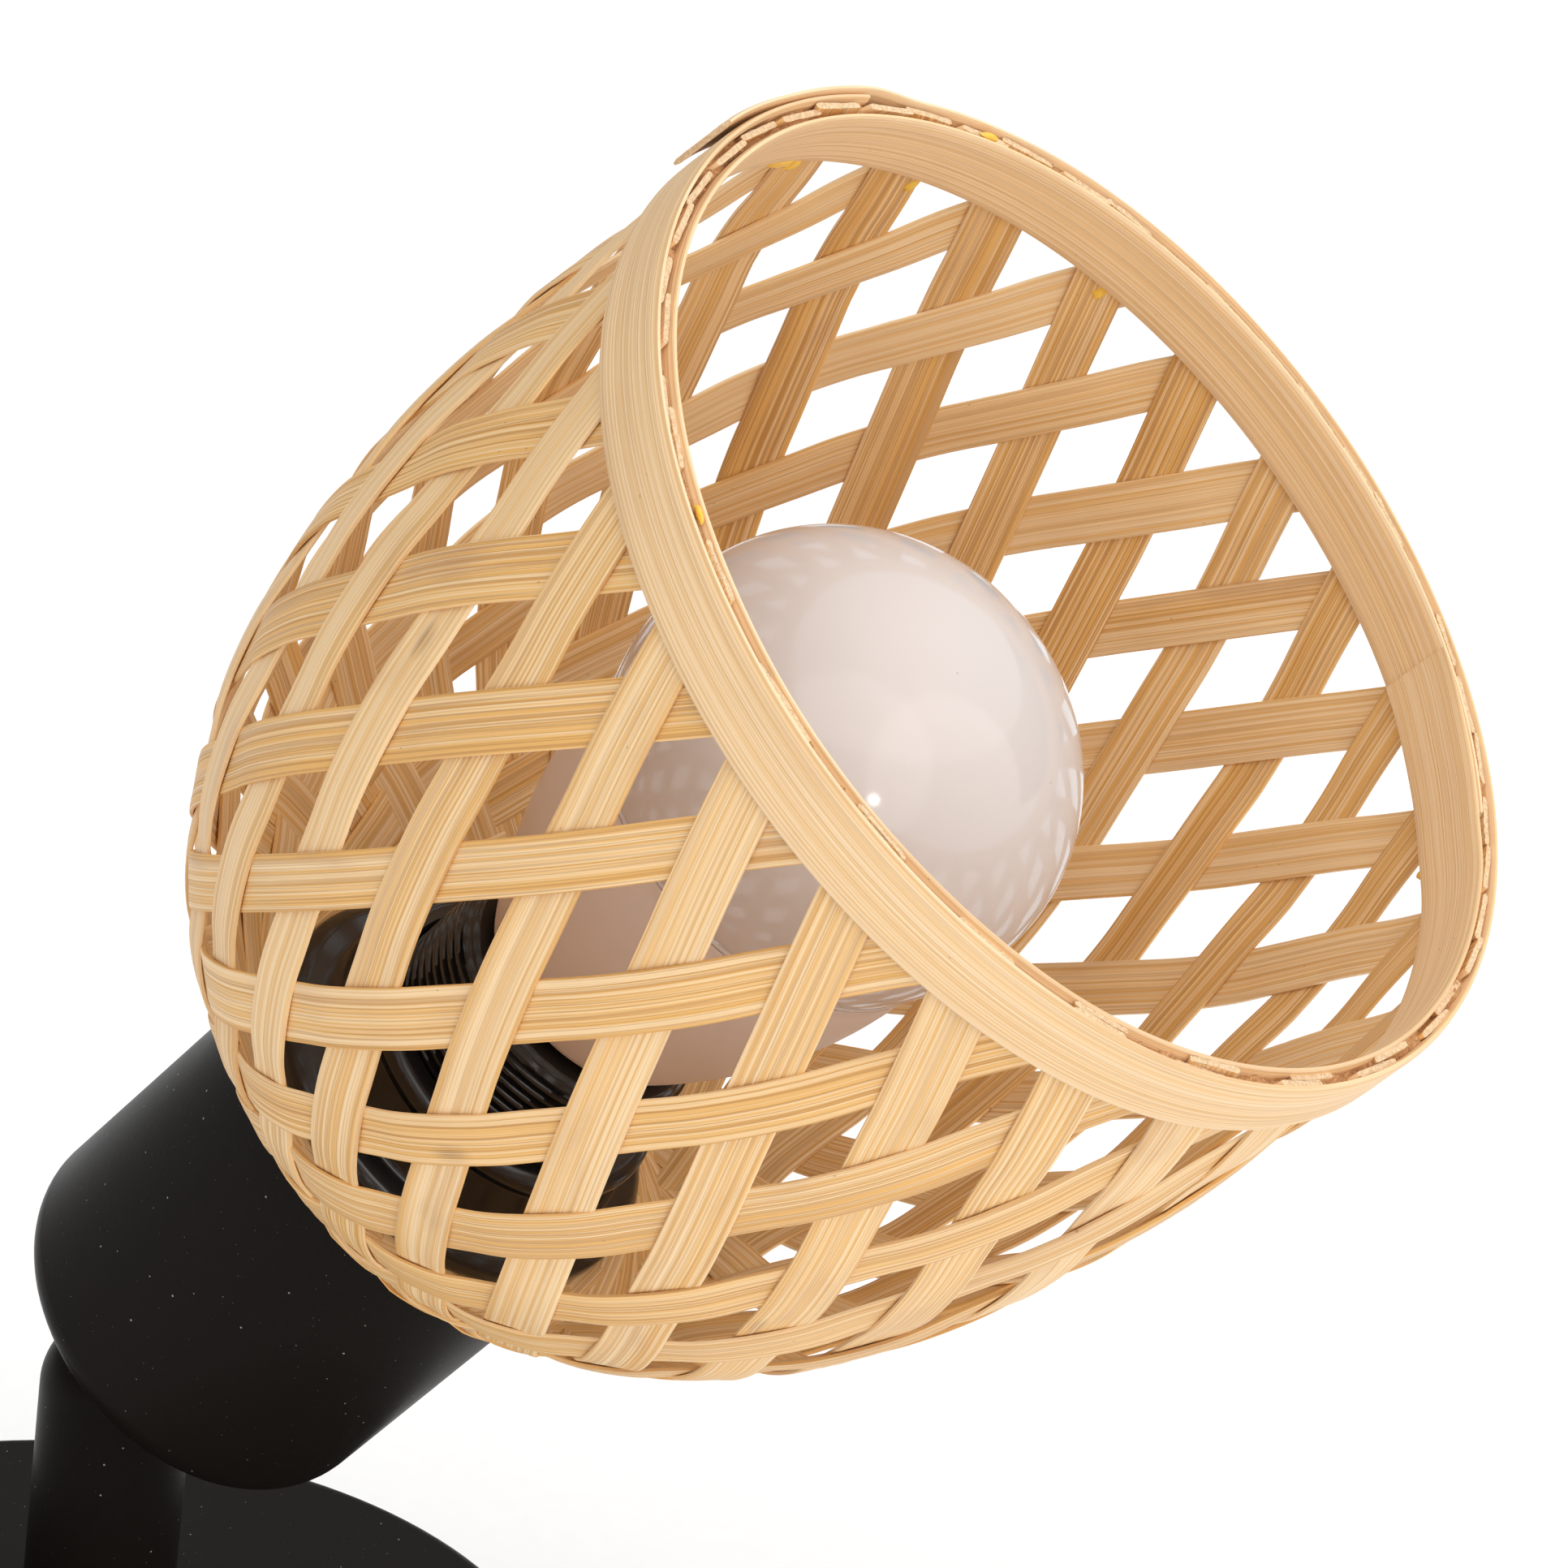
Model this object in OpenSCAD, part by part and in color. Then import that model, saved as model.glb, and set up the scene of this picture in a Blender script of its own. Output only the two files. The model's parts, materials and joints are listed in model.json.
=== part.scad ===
// Wall and ceiling spotlight with a hand-woven bamboo basket shade.
// A round canopy carries a swivelling arm. The arm ends in a slotted dome,
// and the lamp head tilts about the centre of that dome.
// Origin: centre of the canopy's open face, where it meets the wall.
// +Z runs out of the wall along the arm, and the lamp head leans towards +X.

/* [Canopy] */
// Diameter of the round canopy
canopy_d = 100; // [90:1:110]
// Height of the canopy off the wall
canopy_h = 24; // [23:1:30]
// Sheet thickness of the canopy
canopy_wall = 1.2; // [1:0.1:1.5]
// Distance between the two slots for the wall screws
slot_spacing = 60; // [54:1:62]
// Width of a wall screw slot
slot_w = 4.6; // [4:0.1:5]
// Length of a wall screw slot, end to end
slot_l = 10; // [8:1:12]
// Bore of the cable grommet
cable_bore_d = 9; // [8:0.5:10]

/* [Arm] */
// Outer diameter of the arm tube
arm_d = 16; // [16:0.5:18]
// Wall thickness of the arm tube
arm_wall = 1.2; // [1:0.1:1.3]
// Height of the tilt pivot above the canopy
pivot_rise = 31; // [28:1:40]
// Tilt of the lamp head from the arm, at rest
head_tilt = 40; // [30:1:50]

/* [Lamp head] */
// Diameter of the metal cup behind the shade
cup_d = 42; // [40:1:46]
// Length of the metal cup
cup_l = 45; // [43:1:50]
// Gap from the tilt pivot to the back of the cup
cup_gap = 14; // [13:1:18]
// Outer diameter of the lampholder's thread
holder_d = 28; // [28:0.5:29]
// Pitch of the lampholder's thread
holder_pitch = 1.2; // [1:0.1:2]
// Length of the lampholder that stands out of the cup
holder_reach = 23; // [22:1:26]
// Flange diameter of the shade ring
ring_d = 43; // [40:1:44]

/* [Shade] */
// Outer diameter of the shade at its rim
rim_d = 102; // [96:1:110]
// Depth of the shade from the cup to its rim
shade_h = 97; // [92:1:104]
// Thickness of the weave, two strips
weave_t = 1.2; // [1:0.1:1.6]
// Thickness of each rim band
band_t = 0.7; // [0.6:0.1:1]
// Width of the outer rim band
outer_band_w = 7.5; // [6:0.5:9]
// Width of the inner rim band
inner_band_w = 8; // [6:0.5:9]
// Lean of the shade on its ring
shade_lean = 3.5; // [0:0.5:4]
// Sideways seat of the shade on its ring
shade_shift = 4; // [0:0.5:4]

/* [Bulb] */
// Diameter of the bulb's globe
globe_d = 45.4; // [44:0.2:46]
// Distance from the cup's front to the globe's centre
globe_reach = 63; // [61:1:65]

/* [Hidden] */
$fn = 96;

// Cutting tools run this far past the faces they cut
past = 1;
// Gap that lets two curved faces slide on each other
slide_gap = 0.2;
// Gap of a thread that is drawn as a plain cylinder
thread_gap = 0.05;
// Gap of a shaft that turns in its hole
turn_gap = 0.06;

// Canopy and wall plate
canopy_r = canopy_d / 2;
canopy_edge = 3;
plate_t = 1.5;
plate_w = 24;
plate_r = canopy_r - canopy_wall - 0.5;
ear_h = 13;
ear_w = 16;
side_screw_z = 8;
side_screw_r = 2;
tab_reach = 34;
block_l = 28;
block_w = 14;
block_h = 12;
block_y = 24;
pole_pitch = 9;
grommet_y = -24;
grommet_r = 7;
earth_x = 16;
earth_r = 2;

// Arm and its swivel through the canopy
arm_r = arm_d / 2;
bore_r = arm_r - arm_wall;
pivot_z = canopy_h + pivot_rise;
washer_t = 0.6;
nipple_r = 5;
nipple_bore_r = 3.4;
bush_l = 9;
stop_plate_t = 1;
stop_plate_r = 9;
stop_tab_r = 14;
stop_tab_w = 3;
stop_pin_r = 1.5;
stop_pin_at = 12;
stop_pin_l = 4;
wave_t = 1;
arm_nut_h = 4;
arm_nut_w = 14;
nipple_tail = 3;

// Tilt joint, in the head's own frame: pivot at its origin, lamp axis along +Z
tilt_r = 4;
tilt_bore_r = 2.6;
slot_r = tilt_r + slide_gap;
saddle_r = 7;
inner_saddle_z = 4.3;
spring_t = 1;
spring_r = 5;
tilt_nut_h = 3;
tilt_nut_r = 5.5;
tilt_nipple_l = 26;

// Cup and lampholder
cup_r = cup_d / 2;
cup_wall = 1;
cup_edge = 4;
cup_lip = 3;
cup_back = cup_gap;
cup_front = cup_gap + cup_l;
lock_t = 0.8;
lock_r = 6.5;
cup_nut_h = 3;
cup_nut_w = 12;
cap_r = 13;
cap_wall = 1.2;
cap_base = 2.5;
cap_z = cup_back + cup_wall + lock_t + cup_nut_h + 0.5;
cap_l = 11;
holder_r = holder_d / 2;
holder_core_r = holder_r - 0.7;
holder_z = cap_z + cap_l;
holder_end = cup_front + holder_reach;
holder_bore_r = 10.4;
holder_smooth = 2;
insert_t = 11;
insert_z = holder_end - 20 - insert_t;
insert_r = holder_bore_r;
shell_r = 7.15;
shell_wall = 0.4;
shell_l = 13;
ring_t = 2.7;
ring_hub_r = 17.5;
ring_h = 11;

// Shade: a bowl of superellipse section, straight above its widest ring
seat_t = 1.3;
rim_r = rim_d / 2 - band_t;
belly_r = rim_r + 1.1;
belly_drop = 28;
belly_z = shade_h - belly_drop;
bowl_depth = belly_z + 4.6;
bowl_power = 2.5;
bowl_low = -3;
bowl_steps = 30;
seat_hole_r = cup_r - cup_lip;

// Bulb with a small screw cap
globe_r = globe_d / 2;
globe_z = cup_front + globe_reach;
globe_crown = 20.4;
globe_skirt = 24;
globe_wall = 1.4;
seam_drop = 10.5;
seam_z = globe_z - seam_drop;
seam_r = globe_r * sqrt(1 - pow(seam_drop / globe_skirt, 2));
neck_r = 11.4;
neck_z = holder_end + 0.3;
body_wall = 1.3;
screw_r = 6.9;
screw_pitch = 2.8;
screw_l = 15;
screw_z = neck_z - screw_l;
insulator_h = 1.8;
contact_h = 1.8;
led_board_t = 1.6;
driver_l = 20;
driver_w = 12;
driver_t = 1.2;
bulb_steps = 24;

// A straight tube that stands on z = 0
module pipe(r_out, r_in, h) {
    difference() {
        cylinder(r = r_out, h = h);
        translate([0, 0, -past])
            cylinder(r = r_in, h = h + 2 * past);
    }
}

// Half section of a drum whose outer top edge is rounded
module drum_2d(r, h, edge) {
    square([r - edge, h]);
    square([r, h - edge]);
    translate([r - edge, h - edge])
        circle(r = edge);
}

// A drum with a rounded top edge
module drum(r, h, edge) {
    rotate_extrude()
        intersection() {
            drum_2d(r, h, edge);
            square([r + past, h + past]);
        }
}

// A hexagon nut, w across its flats
module hex_nut(w, h, hole_r) {
    difference() {
        cylinder(d = w / cos(30), h = h, $fn = 6);
        translate([0, 0, -past])
            cylinder(r = hole_r, h = h + 2 * past);
    }
}

// A round-headed screw with a cross slot, head up, standing on z = 0
module screw(shank_r, shank_l, head_r, head_h) {
    slot = 0.8;
    difference() {
        union() {
            translate([0, 0, -shank_l])
                cylinder(r = shank_r, h = shank_l);
            cylinder(r = head_r, h = head_h);
        }
        for (turn = [0, 90])
            rotate([0, 0, turn])
                translate([-head_r * 0.7, -slot / 2, head_h / 2])
                    cube([head_r * 1.4, slot, head_h]);
    }
}

// Rings of a thread on a core, drawn without their helix
module thread_rings(core_r, crest_r, pitch, z_from, z_to) {
    count = floor((z_to - z_from) / pitch);
    for (k = [0 : count - 1])
        translate([0, 0, z_from + k * pitch])
            rotate_extrude()
                polygon([
                    [core_r - 0.3, 0.1 * pitch],
                    [crest_r, 0.4 * pitch],
                    [crest_r, 0.6 * pitch],
                    [core_r - 0.3, 0.9 * pitch]
                ]);
}

// The head's own frame
module in_head() {
    translate([0, 0, pivot_z])
        rotate([0, head_tilt, 0])
            children();
}

// The shade's own frame: it sits a little off the lamp axis and leans
module in_shade() {
    in_head()
        translate([-shade_shift, 0, cup_front])
            rotate([0, shade_lean, 0])
                children();
}

// ---- Canopy, wall plate and wiring ----

module wall_plate() {
    color("silver")
        difference() {
            union() {
                intersection() {
                    translate([-plate_r, -plate_w / 2, 0])
                        cube([2 * plate_r, plate_w, plate_t]);
                    cylinder(r = plate_r, h = plate_t);
                }
                translate([-plate_w / 2, -tab_reach, 0])
                    cube([plate_w, 2 * tab_reach, plate_t]);
                for (side = [-1, 1])
                    translate([side * (plate_r - 1.5) - plate_t / 2, -ear_w / 2, 0])
                        cube([plate_t, ear_w, ear_h]);
            }
            for (side = [-1, 1]) {
                translate([side * slot_spacing / 2, 0, -past])
                    wall_slot();
                translate([side * (plate_r - 1.5), 0, side_screw_z])
                    rotate([0, 90, 0])
                        cylinder(r = side_screw_r + thread_gap, h = 2 * plate_t, center = true);
            }
            translate([0, grommet_y, -past])
                cylinder(r = grommet_r, h = plate_t + 2 * past);
            translate([earth_x, 0, -past])
                cylinder(r = earth_r + thread_gap, h = plate_t + 2 * past);
        }
}

// One slot with round ends, along X
module wall_slot() {
    reach = (slot_l - slot_w) / 2;
    for (end = [-1, 1])
        translate([end * reach, 0, 0])
            cylinder(d = slot_w, h = plate_t + 2 * past);
    translate([-reach, -slot_w / 2, 0])
        cube([2 * reach, slot_w, plate_t + 2 * past]);
}

// Rubber grommet that lines the cable hole
module cable_grommet() {
    flange = 1.8;
    color("dimgray")
        translate([0, grommet_y, 0])
            difference() {
                union() {
                    cylinder(r = grommet_r, h = plate_t);
                    translate([0, 0, plate_t])
                        cylinder(r = grommet_r + flange, h = flange);
                }
                translate([0, 0, -past])
                    cylinder(d = cable_bore_d, h = plate_t + flange + 2 * past);
            }
}

module terminal_block() {
    wire_r = 1.6;
    screw_r = 1.8;
    color("whitesmoke")
        translate([0, block_y, plate_t])
            difference() {
                translate([-block_l / 2, -block_w / 2, 0])
                    cube([block_l, block_w, block_h]);
                for (pole = [-1 : 1])
                    translate([pole * pole_pitch, 0, 0]) {
                        translate([0, -block_w, block_h * 0.4])
                            rotate([-90, 0, 0])
                                cylinder(r = wire_r, h = 2 * block_w);
                        for (side = [-1, 1])
                            translate([0, side * block_w / 4, block_h * 0.7])
                                cylinder(r = screw_r, h = block_h);
                    }
            }
}

module terminal_screws() {
    color("gold")
        for (pole = [-1 : 1], side = [-1, 1])
            translate([pole * pole_pitch, block_y + side * block_w / 4, plate_t + block_h * 0.7])
                cylinder(r = 1.6, h = 2.4);
}

module earth_screw() {
    color("gold")
        translate([earth_x, 0, plate_t])
            screw(earth_r, plate_t, 3.6, 2.2);
}

module canopy() {
    color([0.06, 0.06, 0.06])
        difference() {
            drum(canopy_r, canopy_h, canopy_edge);
            translate([0, 0, -past])
                drum(canopy_r - canopy_wall, canopy_h - canopy_wall + past, canopy_edge - canopy_wall);
            cylinder(r = nipple_r + turn_gap, h = canopy_h + past);
            for (side = [-1, 1])
                translate([side * canopy_r, 0, side_screw_z])
                    rotate([0, 90, 0])
                        cylinder(r = side_screw_r + 0.25, h = 8 * canopy_wall, center = true);
        }
}

// Two screws that hold the canopy to the plate's ears
module canopy_screws() {
    shank_l = canopy_r - plate_r + 4;
    color([0.08, 0.08, 0.08])
        for (side = [0, 180])
            rotate([0, 0, side])
                translate([canopy_r, 0, side_screw_z])
                    rotate([0, 90, 0])
                        screw(side_screw_r, shank_l, 3.4, 1.8);
}

// Pin under the canopy that stops the arm's turn
module stop_pin() {
    color("silver")
        translate([-stop_pin_at, 0, canopy_h - canopy_wall - stop_pin_l])
            cylinder(r = stop_pin_r, h = stop_pin_l);
}

// ---- Arm ----

// Straight tube closed by a dome, with a slot from the dome's top to its side
module arm_tube() {
    foot_z = canopy_h + washer_t;
    color([0.05, 0.05, 0.05])
        difference() {
            union() {
                translate([0, 0, foot_z])
                    cylinder(r = arm_r, h = pivot_z - foot_z);
                translate([0, 0, pivot_z])
                    sphere(r = arm_r);
            }
            translate([0, 0, foot_z - past])
                cylinder(r = bore_r, h = pivot_z - foot_z + past);
            translate([0, 0, pivot_z]) {
                sphere(r = bore_r);
                cylinder(r = slot_r, h = 2 * arm_r);
                rotate([0, 90, 0])
                    cylinder(r = slot_r, h = 2 * arm_r);
                translate([0, -slot_r, 0])
                    cube([2 * arm_r, 2 * slot_r, 2 * arm_r]);
            }
        }
}

// Threaded plug brazed into the foot of the tube
module arm_bush() {
    color("silver")
        translate([0, 0, canopy_h + washer_t])
            pipe(bore_r, nipple_r, bush_l);
}

// Hollow threaded rod that turns in the canopy and carries the wires
module arm_nipple() {
    low = canopy_h - canopy_wall - stop_plate_t - wave_t - arm_nut_h - nipple_tail;
    color("silver")
        translate([0, 0, low])
            pipe(nipple_r, nipple_bore_r, canopy_h + washer_t + bush_l - low);
}

module friction_washer() {
    color("white")
        translate([0, 0, canopy_h])
            pipe(arm_r, nipple_r, washer_t);
}

// Washer with a tab that meets the stop pin
module stop_plate() {
    color("silver")
        translate([0, 0, canopy_h - canopy_wall - stop_plate_t])
            difference() {
                union() {
                    cylinder(r = stop_plate_r, h = stop_plate_t);
                    translate([0, -stop_tab_w / 2, 0])
                        cube([stop_tab_r, stop_tab_w, stop_plate_t]);
                }
                translate([0, 0, -past])
                    cylinder(r = nipple_r, h = stop_plate_t + 2 * past);
            }
}

module wave_washer() {
    color("silver")
        translate([0, 0, canopy_h - canopy_wall - stop_plate_t - wave_t])
            pipe(stop_plate_r - 1, nipple_r, wave_t);
}

module arm_nut() {
    color("silver")
        translate([0, 0, canopy_h - canopy_wall - stop_plate_t - wave_t - arm_nut_h])
            hex_nut(arm_nut_w, arm_nut_h, nipple_r);
}

// ---- Tilt joint ----

// Collar between the dome and the cup, hollowed to ride on the tube
module tilt_saddle() {
    color([0.05, 0.05, 0.05])
        in_head()
            difference() {
                pipe(saddle_r, tilt_r, cup_back);
                rotate([0, 90, 0])
                    cylinder(r = arm_r + slide_gap, h = 4 * arm_r, center = true);
            }
}

// Hollow threaded rod from inside the dome into the cup
module tilt_nipple() {
    color("silver")
        in_head()
            pipe(tilt_r, tilt_bore_r, tilt_nipple_l);
}

// Domed washer that bears on the inside of the dome
module inner_saddle() {
    color("silver")
        in_head()
            difference() {
                sphere(r = bore_r - slide_gap);
                translate([0, 0, inner_saddle_z - 2 * arm_r])
                    cylinder(r = 2 * arm_r, h = 2 * arm_r);
                cylinder(r = tilt_r, h = 2 * arm_r);
            }
}

module spring_washer() {
    color("silver")
        in_head()
            translate([0, 0, inner_saddle_z - spring_t])
                pipe(spring_r, tilt_r, spring_t);
}

// Round nut with two key slots
module tilt_nut() {
    key = 1.4;
    color("silver")
        in_head()
            translate([0, 0, inner_saddle_z - spring_t - tilt_nut_h])
                difference() {
                    pipe(tilt_nut_r, tilt_r, tilt_nut_h);
                    translate([-2 * tilt_nut_r, -key / 2, -past])
                        cube([4 * tilt_nut_r, key, past + tilt_nut_h / 2]);
                }
}

// ---- Cup and lampholder ----

// Drawn metal cup: closed round back, open front with a narrow lip
module holder_cup() {
    color([0.05, 0.05, 0.05])
        in_head()
            difference() {
                translate([0, 0, cup_front])
                    mirror([0, 0, 1])
                        drum(cup_r, cup_l, cup_edge);
                translate([0, 0, cup_front - cup_wall])
                    mirror([0, 0, 1])
                        drum(cup_r - cup_wall, cup_l - 2 * cup_wall, cup_edge - cup_wall);
                cylinder(r = cup_r - cup_lip, h = 2 * cup_front - cup_back - cup_l / 2);
                cylinder(r = tilt_r, h = cup_front);
            }
}

module cup_lock_washer() {
    color("silver")
        in_head()
            translate([0, 0, cup_back + cup_wall])
                pipe(lock_r, tilt_r, lock_t);
}

module cup_nut() {
    color("silver")
        in_head()
            translate([0, 0, cup_back + cup_wall + lock_t])
                hex_nut(cup_nut_w, cup_nut_h, tilt_r);
}

// Back cap of the lampholder, screwed on the tilt nipple
module holder_cap() {
    color([0.04, 0.04, 0.04])
        in_head()
            translate([0, 0, cap_z])
                difference() {
                    cylinder(r = cap_r, h = cap_l);
                    translate([0, 0, cap_base])
                        cylinder(r = cap_r - cap_wall, h = cap_l);
                    translate([0, 0, -past])
                        cylinder(r = tilt_r, h = cap_base + 2 * past);
                }
}

// Threaded sleeve of the lampholder
module lampholder() {
    floor_z = insert_z - holder_z;
    length = holder_end - holder_z;
    color([0.04, 0.04, 0.04])
        in_head()
            translate([0, 0, holder_z])
                difference() {
                    union() {
                        cylinder(r = holder_core_r, h = length);
                        thread_rings(holder_core_r, holder_r, holder_pitch,
                                     holder_smooth, length - holder_smooth);
                    }
                    translate([0, 0, -past])
                        cylinder(r = holder_bore_r - 2, h = length + 2 * past);
                    translate([0, 0, floor_z])
                        cylinder(r = holder_bore_r, h = length);
                }
}

// Insulating block that carries the contacts and the wire terminals
module holder_insert() {
    color("ivory")
        in_head()
            translate([0, 0, insert_z])
                difference() {
                    cylinder(r = insert_r, h = insert_t);
                    for (side = [-1, 1])
                        translate([side * insert_r * 0.6, 0, -past])
                            cylinder(r = 1.5, h = insert_t * 0.7);
                }
}

module insert_screws() {
    color("gold")
        in_head()
            for (side = [-1, 1])
                translate([side * insert_r * 0.6, 0, insert_z])
                    cylinder(r = 1.5, h = 3);
}

// Threaded shell that the bulb's cap screws into
module socket_shell() {
    color("gold")
        in_head()
            translate([0, 0, insert_z + insert_t])
                pipe(shell_r + shell_wall, shell_r, shell_l);
}

// Sprung tongue under the bulb's end contact
module centre_contact() {
    tongue_w = 4;
    tongue_l = 5;
    color("gold")
        in_head()
            translate([-tongue_l / 2, -tongue_w / 2, insert_z + insert_t])
                cube([tongue_l, tongue_w, screw_z - insulator_h - contact_h - insert_z - insert_t]);
}

// Threaded ring that clamps the shade, with a wide flange
module shade_ring() {
    seat = cup_front + seat_t;
    color([0.03, 0.03, 0.03])
        in_head()
            translate([0, 0, seat])
                difference() {
                    rotate_extrude()
                        polygon([
                            [0, 0],
                            [ring_d / 2, 0],
                            [ring_d / 2, ring_t],
                            [ring_hub_r, ring_t + 1.2],
                            [ring_hub_r - 0.8, ring_h],
                            [0, ring_h]
                        ]);
                    translate([0, 0, -past])
                        cylinder(r = holder_r + thread_gap, h = ring_h + 2 * past);
                }
}

// ---- Shade ----

// Radius of the bowl at height z, drawn in by inset
function bowl_r(z, inset) =
    z < belly_z
        ? (belly_r - inset) * pow(1 - pow((belly_z - z) / (bowl_depth - inset), bowl_power), 1 / bowl_power)
        : belly_r - inset + (rim_r - belly_r) * (z - belly_z) / belly_drop;

// Heights of the bowl's section, closer together near the bottom
function bowl_heights() = [
    for (k = [0 : bowl_steps])
        bowl_low + (belly_z - bowl_low) * (1 - cos(90 * k / bowl_steps))
];

// The solid bowl, from below its seat up to height top
module bowl(inset, top) {
    rotate_extrude()
        polygon(concat(
            [[0, top], [0, bowl_low]],
            [for (z = bowl_heights()) [bowl_r(z, inset), z]],
            [[bowl_r(top, inset), top]]
        ));
}

// Plain shell of the woven basket, flat where the ring clamps it,
// with a hole as wide as the cup's mouth
module shade_basket() {
    reach = 2 * rim_d;
    color([0.87, 0.71, 0.49])
        difference() {
            in_shade()
                bowl(0, shade_h);
            difference() {
                in_shade()
                    bowl(weave_t, shade_h + past);
                in_head()
                    translate([0, 0, cup_front + seat_t - reach])
                        cylinder(r = reach, h = reach);
            }
            in_head()
                translate([0, 0, cup_front - reach])
                    cylinder(r = reach, h = reach);
            in_head()
                cylinder(r = seat_hole_r, h = cup_front + 2 * seat_t);
        }
}

// A rim band between two insets of the bowl
module rim_band(w, inset_out, inset_in) {
    low = shade_h - w;
    in_shade()
        rotate_extrude()
            polygon([
                [bowl_r(low, inset_in), low],
                [bowl_r(low, inset_out), low],
                [bowl_r(shade_h, inset_out), shade_h],
                [bowl_r(shade_h, inset_in), shade_h]
            ]);
}

module outer_band() {
    color([0.93, 0.79, 0.58])
        rim_band(outer_band_w, -band_t, 0);
}

module inner_band() {
    color([0.91, 0.76, 0.55])
        rim_band(inner_band_w, weave_t, weave_t + band_t);
}

// ---- Bulb ----

module bulb_contact() {
    color("silver")
        in_head()
            translate([0, 0, screw_z - insulator_h - contact_h])
                cylinder(r = 2.4, h = contact_h);
}

module bulb_insulator() {
    color([0.1, 0.1, 0.1])
        in_head()
            translate([0, 0, screw_z - insulator_h])
                rotate_extrude()
                    polygon([[0, 0], [3, 0], [screw_r - 1, insulator_h], [0, insulator_h]]);
}

// Screw cap of the bulb
module bulb_cap() {
    core_r = screw_r - 0.6;
    color("silver")
        in_head()
            translate([0, 0, screw_z])
                difference() {
                    union() {
                        cylinder(r = core_r, h = screw_l);
                        thread_rings(core_r, screw_r, screw_pitch, 0, screw_l - 2);
                    }
                    translate([0, 0, 0.6])
                        cylinder(r = core_r - 0.6, h = screw_l);
                }
}

// Radius of the bulb's body at a share of its height, from neck to seam
function body_r(share) = neck_r + (seam_r - neck_r) * sin(90 * pow(share, 0.9));

// Half section of the body, drawn in by inset
module body_2d(inset) {
    height = seam_z - neck_z;
    polygon(concat(
        [[0, 0], [neck_r - inset - 1, 0]],
        [for (k = [1 : bulb_steps]) [body_r(k / bulb_steps) - inset, height * k / bulb_steps]],
        [[0, height]]
    ));
}

// Opaque tapering body that holds the driver
module bulb_body() {
    color([0.93, 0.86, 0.84])
        in_head()
            translate([0, 0, neck_z])
                difference() {
                    rotate_extrude()
                        body_2d(0);
                    intersection() {
                        rotate_extrude()
                            body_2d(body_wall);
                        translate([0, 0, 2 * body_wall])
                            cylinder(r = globe_r, h = seam_z);
                    }
                    translate([0, 0, -past])
                        cylinder(r = 3, h = 4 * body_wall);
                    translate([0, 0, seam_z - neck_z - body_wall])
                        cylinder(r = seam_r - body_wall, h = 2 * body_wall);
                }
}

// Driver board that stands in the body
module driver_board() {
    color("seagreen")
        in_head()
            translate([-driver_w / 2, -driver_t / 2, neck_z + 2 * body_wall])
                cube([driver_w, driver_t, driver_l]);
}

// Aluminium board with a ring of light-emitting chips
module led_board() {
    chips = 8;
    chip_w = 2.8;
    chip_h = 0.7;
    board_r = seam_r - body_wall - 0.4;
    color("gainsboro")
        in_head()
            translate([0, 0, seam_z - body_wall]) {
                cylinder(r = board_r, h = led_board_t);
                for (k = [0 : chips - 1])
                    rotate([0, 0, 360 * k / chips])
                        translate([board_r * 0.6, -chip_w / 2, led_board_t / 2])
                            cube([chip_w, chip_w, led_board_t / 2 + chip_h]);
            }
}

// Half section of the globe, drawn in by inset: flatter crown, deeper skirt
module globe_2d(inset) {
    r = globe_r - inset;
    crown = globe_crown - inset;
    skirt = globe_skirt - inset;
    low = asin(seam_drop / skirt);
    polygon(concat(
        [[0, -seam_drop]],
        [for (k = [0 : bulb_steps]) let (a = -low * (1 - k / bulb_steps)) [r * cos(a), skirt * sin(a)]],
        [for (k = [1 : bulb_steps]) let (a = 90 * k / bulb_steps) [r * cos(a), crown * sin(a)]]
    ));
}

// Milky globe that closes the bulb
module bulb_globe() {
    color([0.95, 0.89, 0.88])
        in_head()
            translate([0, 0, globe_z])
                difference() {
                    rotate_extrude()
                        globe_2d(0);
                    translate([0, 0, -0.01])
                        rotate_extrude()
                            globe_2d(globe_wall);
                }
}

wall_plate();
cable_grommet();
terminal_block();
terminal_screws();
earth_screw();
canopy();
canopy_screws();
stop_pin();
arm_tube();
arm_bush();
arm_nipple();
friction_washer();
stop_plate();
wave_washer();
arm_nut();
tilt_saddle();
tilt_nipple();
inner_saddle();
spring_washer();
tilt_nut();
holder_cup();
cup_lock_washer();
cup_nut();
holder_cap();
lampholder();
holder_insert();
insert_screws();
socket_shell();
centre_contact();
shade_ring();
shade_basket();
outer_band();
inner_band();
bulb_contact();
bulb_insulator();
bulb_cap();
bulb_body();
driver_board();
led_board();
bulb_globe();
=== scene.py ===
import json
import math
import random

import bmesh
import bpy
import numpy as np
from mathutils import Matrix, Vector


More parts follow.
